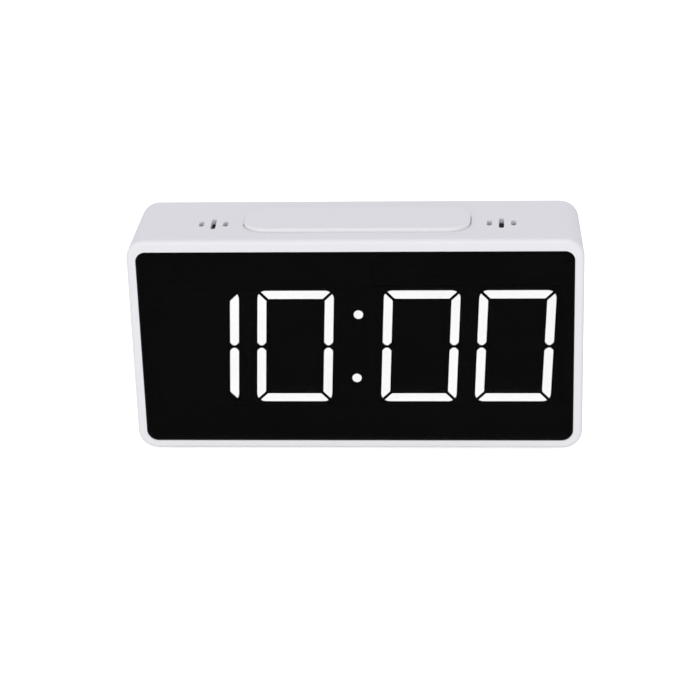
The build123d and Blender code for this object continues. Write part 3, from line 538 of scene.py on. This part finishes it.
# %% [markdown]
# Leads come in pairs, one red and one black, so that they can't be swapped. Each pair is one node of the
# frame, so a step on X at the middle of the pair chooses the colour, and the moulded surface gives the
# sleeve its slight drift.

# %% Leads
red_sleeve = (0.42, 0.02, 0.02, 1)
black_sleeve = (0.02, 0.02, 0.022, 1)

for name in sorted(name for name in frame["nodes"] if slot_of[name] == "lead_sleeve"):
    material, tree, shader, colour = new_finish(name, moulded, bump=0.05, depth_mm=0.01, Tint=red_sleeve,
                                                Drift=0.2, Roughness=0.42, Gloss_Drift=0.1, Grain=2000.0)
    place = add_node(tree, "TexCoord").outputs["Object"]
    across = add_node(tree, "SeparateXYZ", Vector=place).outputs["X"]
    low_corner, high_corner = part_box(name)
    other = add_math(tree, "GREATER_THAN", across, (low_corner.x + high_corner.x) / 2)
    set_socket(tree, shader.inputs["Base Color"], add_mix(tree, other, colour, black_sleeve))
    dress(material, [name])
    print("lead_sleeve on", name)

# %% [markdown]
# New pieces are made with mesh operators in a bmesh. Flat work is drawn first and then given a
# thickness. When a shape is done, its doubles are merged, its faces are turned outwards, and it becomes
# an object at the origin that rides on a body of the clock, so it moves when the clock's joints do.

# %% Piece helpers
weld = 0.0005 * MM


def raise_flat(shape, out, thickness):
    """Turn flat faces to look along a direction, and give them a thickness that way."""
    for face in shape.faces:
        face.normal_update()
        if face.normal.dot(out) < 0:
            face.normal_flip()
    bmesh.ops.solidify(shape, geom=shape.faces[:], thickness=-thickness)


def new_piece(name, shape, material, body):
    """Object from a finished bmesh, riding on a body, with a material."""
    bmesh.ops.remove_doubles(shape, verts=shape.verts, dist=weld)
    bmesh.ops.recalc_face_normals(shape, faces=shape.faces)
    mesh = bpy.data.meshes.new(name)
    shape.to_mesh(mesh)
    shape.free()
    piece = bpy.data.objects.new(name, mesh)
    bpy.context.scene.collection.objects.link(piece)
    mesh.materials.append(material)
    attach(piece, body)
    corners = [[round(pick(v.co[axis] for v in mesh.vertices) / MM, 2) for axis in range(3)]
               for pick in (min, max)]
    print(name, len(mesh.polygons), "faces, box in mm", corners)
    return piece


print("piece helpers ready")

# %% [markdown]
# Under each group of sound holes a disc of black gauze keeps dust out. Its black also stands in for the
# shade inside the case, as painted shade: through the holes one sees the dark sheet and not the parts.
# The weave is two crossed waves that feed a Bump node, where the higher thread of the two wins.

# %% Gauze
thread_pitch = 0.18 * MM
# near-black gauze, whose black also serves as painted shade seen through the holes
gauze_black_and_shade = (0.02, 0.02, 0.021, 1)

gauze, tree, shader, colour = new_finish("sound_gauze_and_shade", moulded, Tint=gauze_black_and_shade, Drift=0.2,
                                         Roughness=0.85, Gloss_Drift=0.1, Grain=1500.0)
place = add_node(tree, "TexCoord").outputs["Object"]
threads = []
for direction in ("X", "Y"):
    wave = add_node(tree, "TexWave", Vector=place, Scale=2 * pi / (wave_turn * thread_pitch))
    wave.bands_direction = direction
    threads.append(wave.outputs["Fac"])
add_relief(tree, shader, add_math(tree, "MAXIMUM", *threads), bump=0.6, depth_mm=0.06)
print("gauze", gauze.name)

# %% [markdown]
# Each screen is a circle with an inset ring for its glued rim, a slight dish in the middle, and a
# thickness. It lies just above the buzzer or the microphone's boot, and takes its place from their
# boxes.

# %% Sound screens
screen_radius = 5.9 * MM
screen_rim = 0.8 * MM
screen_dish = 0.04 * MM
screen_thickness = 0.12 * MM
screen_segments = 48
screen_lift = 0.25 * MM

shape = bmesh.new()
for under in ("buzzer", "microphone_boot"):
    low_corner, high_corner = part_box(under)
    middle = (low_corner + high_corner) / 2
    middle.z = high_corner.z + screen_lift
    disc = bmesh.ops.create_circle(shape, cap_ends=True, segments=screen_segments, radius=screen_radius,
                                   matrix=Matrix.Translation(middle))
    faces = list({face for vert in disc["verts"] for face in vert.link_faces})
    bmesh.ops.inset_region(shape, faces=faces, thickness=screen_rim, use_boundary=True,
                           use_even_offset=True)
    bmesh.ops.translate(shape, verts=faces[0].verts, vec=(0, 0, -screen_dish))
raise_flat(shape, Vector((0, 0, 1)), screen_thickness)
new_piece("sound_screens", shape, gauze, "case")

# %% [markdown]
# The tongue of the power inlet carries five spring contacts. Each is a thin bar with softened edges, one
# cube scaled and bevelled, and the row is spaced along the tongue from the tongue's own box.

# %% Inlet contacts
contact_count = 5
contact_width = 0.36 * MM
contact_pitch = 0.65 * MM
contact_height = 0.08 * MM
contact_margin = 0.5 * MM
contact_edge = 0.02 * MM

low_corner, high_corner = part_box("usb_tongue")
middle = (low_corner + high_corner) / 2
contact_length = high_corner.y - low_corner.y - contact_margin
shape = bmesh.new()
for step in range(contact_count):
    x = middle.x + (step - (contact_count - 1) / 2) * contact_pitch
    seat = Matrix.Translation((x, middle.y, high_corner.z + contact_height / 2))
    size = Matrix.Diagonal((contact_width, contact_length, contact_height, 1))
    bmesh.ops.create_cube(shape, size=1.0, matrix=seat @ size)
bmesh.ops.bevel(shape, geom=shape.edges[:], offset=contact_edge, affect="EDGES", segments=2, profile=0.5,
                material=-1)
new_piece("inlet_contacts", shape, finish_of["contact_nickel"], "case")

# %% [markdown]
# Printed signs tell the rear keys apart: a clock face to set the time, a bell for the alarm, and two
# arrows. They are plain pictures that any clock may have. Each is flat mesh work, drawn in its own plane
# with the picture's right and up, then turned onto the cover and given the thickness of the ink.

# %% Lines and rings of ink
sign_radius = 2.1 * MM
sign_line = 0.42 * MM
ring_segments = 40
ink_tint = (0.10, 0.10, 0.105, 1)

ink = new_finish("sign_ink", moulded, bump=0.1, depth_mm=0.01, Tint=ink_tint, Drift=0.2, Roughness=0.6,
                 Gloss_Drift=0.1, Grain=5000.0)[0]


def flat_bar(shape, start, end, width):
    """Straight line of ink between two points of the picture."""
    start, end = Vector(start), Vector(end)
    run = end - start
    turn = Matrix.Rotation(-Vector((1, 0)).angle_signed(run), 4, "Z")
    size = Matrix.Diagonal((run.length / 2, width / 2, 1, 1))
    seat = Matrix.Translation(((start + end) / 2).to_3d())
    bmesh.ops.create_grid(shape, x_segments=1, y_segments=1, size=1.0, matrix=seat @ turn @ size)


def flat_ring(shape, radius, width):
    """Ring of ink about the middle of the picture."""
    loops = [bmesh.ops.create_circle(shape, segments=ring_segments, radius=size)["verts"]
             for size in (radius, radius - width)]
    edges = {edge for vert in loops[0] + loops[1] for edge in vert.link_edges}
    bmesh.ops.bridge_loops(shape, edges=list(edges))


def flat_disc(shape, radius, middle, segments):
    """Filled disc of ink, or a triangle when it has three segments."""
    disc = bmesh.ops.create_circle(shape, cap_ends=True, segments=segments, radius=radius, matrix=middle)
    return disc["verts"]


def draw_at(shape, draw, matrix):
    """Draw a picture about the origin, then move what was drawn to its place."""
    before = set(shape.verts)
    draw(shape)
    bmesh.ops.transform(shape, verts=[vert for vert in shape.verts if vert not in before], matrix=matrix)


print("ink", ink.name)

# %% [markdown]
# A clock face is a ring with two hands. A bell is a disc cut in half, whose straight edge is drawn down
# twice and flared, with a round clapper under it. An arrow is a circle of three segments, turned to
# point.

# %% Pictures of the signs
arrow_radius = 1.7 * MM
arrow_sides = 3
long_hand_share = 0.62
short_hand_share = 0.5
dome_share = 0.6
skirt_shares = ((0.4, 1.08), (0.35, 1.4))
clapper_share = 1.02


def clock_sign(shape):
    """Clock face: a ring and two hands."""
    flat_ring(shape, sign_radius, sign_line)
    flat_bar(shape, (0, -sign_line / 2), (0, sign_radius * long_hand_share), sign_line)
    flat_bar(shape, (sign_line / 2, 0), (sign_radius * short_hand_share, 0), sign_line)


def bell_sign(shape):
    """Bell: a half disc with a flared skirt, and a clapper."""
    disc = flat_disc(shape, sign_radius * dome_share, Matrix.Identity(4), ring_segments)
    edges = list({edge for vert in disc for edge in vert.link_edges})
    faces = list({face for vert in disc for face in vert.link_faces})
    cut = bmesh.ops.bisect_plane(shape, geom=disc + edges + faces, plane_co=(0, 0, 0), plane_no=(0, -1, 0),
                                 clear_outer=True)
    rim = [item for item in cut["geom_cut"] if isinstance(item, bmesh.types.BMEdge)]
    for drop, flare in skirt_shares:
        drawn_down = bmesh.ops.extrude_edge_only(shape, edges=rim)["geom"]
        lower = [item for item in drawn_down if isinstance(item, bmesh.types.BMVert)]
        rim = [item for item in drawn_down if isinstance(item, bmesh.types.BMEdge)]
        bmesh.ops.translate(shape, verts=lower, vec=(0, -drop * sign_radius, 0))
        bmesh.ops.scale(shape, verts=lower, vec=(flare, 1, 1))
    clapper = Matrix.Translation((0, -clapper_share * sign_radius, 0))
    flat_disc(shape, sign_line, clapper, ring_segments // 2)


def arrow_sign(turned):
    """Function that draws a triangle that points up, or another way when turned by some degrees."""
    turn = Matrix.Rotation(radians(turned), 4, "Z")
    return lambda shape: flat_disc(shape, arrow_radius, turn, arrow_sides)


signs = {"set_key": clock_sign, "alarm_key": bell_sign,
         "up_key": arrow_sign(0), "down_key": arrow_sign(180)}
print(len(signs), "signs to print")

# %% [markdown]
# Each sign is printed above its key, so the keys' own boxes give the places. A matrix turns the
# picture's right and up onto the cover. Seen from behind, the clock's X runs to the left, so the
# picture's right is -X.

# %% Key signs
sign_lift = 7.4 * MM
ink_thickness = 0.05 * MM

shape = bmesh.new()
cover_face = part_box("rear_cover")[1].y
onto_cover = Matrix(((-1, 0, 0), (0, 0, 1), (0, 1, 0))).to_4x4()
for key, draw in signs.items():
    low_corner, high_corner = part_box(key)
    middle = (low_corner + high_corner) / 2
    seat = Matrix.Translation((middle.x, cover_face, middle.z + sign_lift))
    draw_at(shape, draw, seat @ onto_cover)
raise_flat(shape, Vector((0, 1, 0)), ink_thickness)
new_piece("key_signs", shape, ink, "case")

# %% [markdown]
# Inside the battery door, a small chart shows which way round the cells go: three outlines with a nub,
# and a plus and a minus in each. An outline is a grid face with its inner part inset and taken out.

# %% Picture of one cell
chart_length = 30.0 * MM
chart_width = 6.4 * MM
chart_line = 0.4 * MM
nub_length = 1.0 * MM
nub_width = 2.4 * MM
mark_size = 2.2 * MM
mark_place = 10.5 * MM


def chart_row(way):
    """Function that draws the outline of one cell, its positive end to the right (1) or left (-1)."""
    def draw(shape):
        size = Matrix.Diagonal((chart_length / 2, chart_width / 2, 1, 1))
        grid = bmesh.ops.create_grid(shape, x_segments=1, y_segments=1, size=1.0, matrix=size)
        face = grid["verts"][0].link_faces[0]
        bmesh.ops.inset_region(shape, faces=[face], thickness=chart_line, use_boundary=True,
                               use_even_offset=True)
        bmesh.ops.delete(shape, geom=[face], context="FACES_ONLY")
        end = way * chart_length / 2
        flat_bar(shape, (end, 0), (end + way * nub_length, 0), nub_width)
        plus = way * mark_place
        for middle in (plus, -plus):
            flat_bar(shape, (middle - mark_size / 2, 0), (middle + mark_size / 2, 0), chart_line)
        for side in (-1, 1):
            flat_bar(shape, (plus, side * chart_line / 2), (plus, side * mark_size / 2), chart_line)
    return draw


print("chart rows", round(chart_length / MM, 1), "mm long")

# %% [markdown]
# The chart's rows lie over the cells, and turn round from row to row as the cells do. The chart is on
# the inner face of the door and rides on the door, so it swings out with it.

# %% Door chart
shape = bmesh.new()
door_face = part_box("battery_door")[0].y
onto_door = Matrix(((1, 0, 0), (0, 0, -1), (0, 1, 0))).to_4x4()
for row in range(cell_rows):
    height = cell_low.z + (row + 0.5) * row_pitch
    seat = Matrix.Translation(((cell_low.x + cell_high.x) / 2, door_face, height))
    draw_at(shape, chart_row(1 if row % 2 else -1), seat @ onto_door)
raise_flat(shape, Vector((0, -1, 0)), ink_thickness)
new_piece("door_chart", shape, ink, "door")
